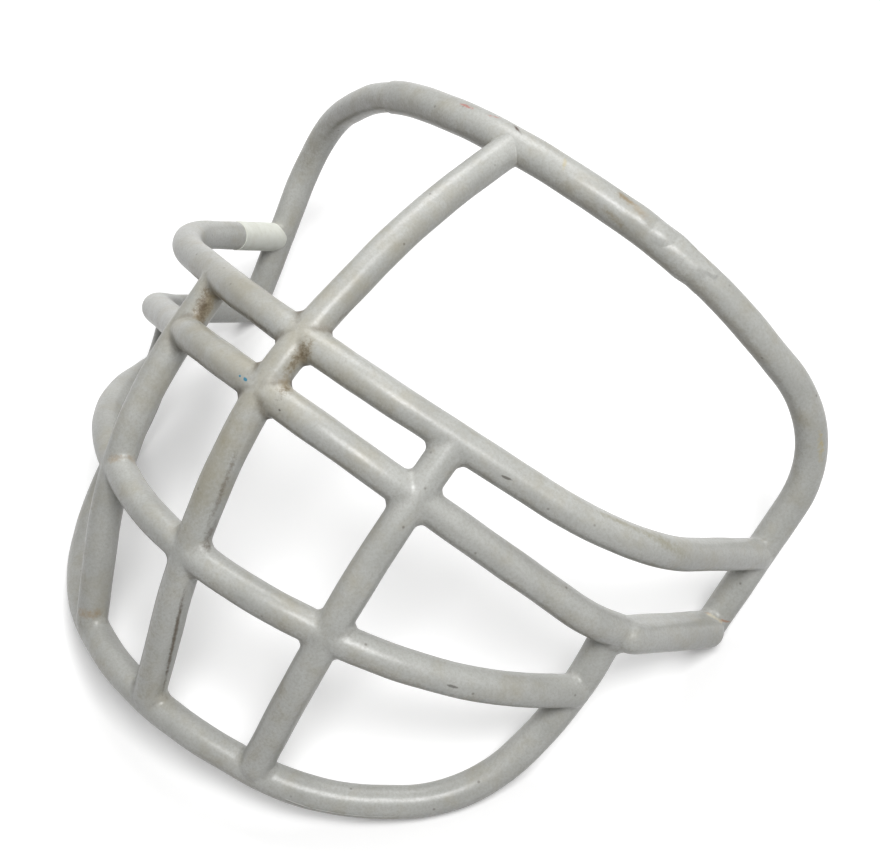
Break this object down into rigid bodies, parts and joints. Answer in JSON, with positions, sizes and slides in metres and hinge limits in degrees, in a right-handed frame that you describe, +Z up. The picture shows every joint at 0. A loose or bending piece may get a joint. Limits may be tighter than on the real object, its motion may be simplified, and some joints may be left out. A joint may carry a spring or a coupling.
{
  "type": "football helmet face guard",
  "caption": "Welded wire face guard of a football helmet, vinyl dipped, with crossed bars, side arms and a round lower hoop.",
  "frame": {"origin": "middle of the guard's box, on the surface that it lies on", "axes": "+Z up from the surface, +Y towards the brow, +X towards the wearer's left, plane of symmetry at X 0"},
  "size_m": [0.2198, 0.188, 0.1229],
  "materials": {
    "steel_wire": "drawn carbon steel wire, bare under the skin",
    "grey_vinyl": "dipped vinyl, satin warm grey, worn and slightly grimy",
    "grey_vinyl_sleeve": "second layer of dipped vinyl, satin, a little paler",
    "label_paper": "blank off-white coated label"
  },
  "bodies": {
    "root": {"brow_hoop_wire": "steel_wire", "lower_hoop_wire": "steel_wire", "eye_bar_wire": "steel_wire", "second_bar_wire": "steel_wire", "third_bar_wire": "steel_wire", "centre_bar_wire": "steel_wire", "upright_left_wire": "steel_wire", "upright_right_wire": "steel_wire", "brow_hoop_skin": "grey_vinyl", "lower_hoop_skin": "grey_vinyl", "eye_bar_skin": "grey_vinyl", "second_bar_skin": "grey_vinyl", "third_bar_skin": "grey_vinyl", "centre_bar_skin": "grey_vinyl", "upright_left_skin": "grey_vinyl", "upright_right_skin": "grey_vinyl", "brow_sleeve": "grey_vinyl_sleeve", "blank_label": "label_paper"}
  },
  "joints": []
}
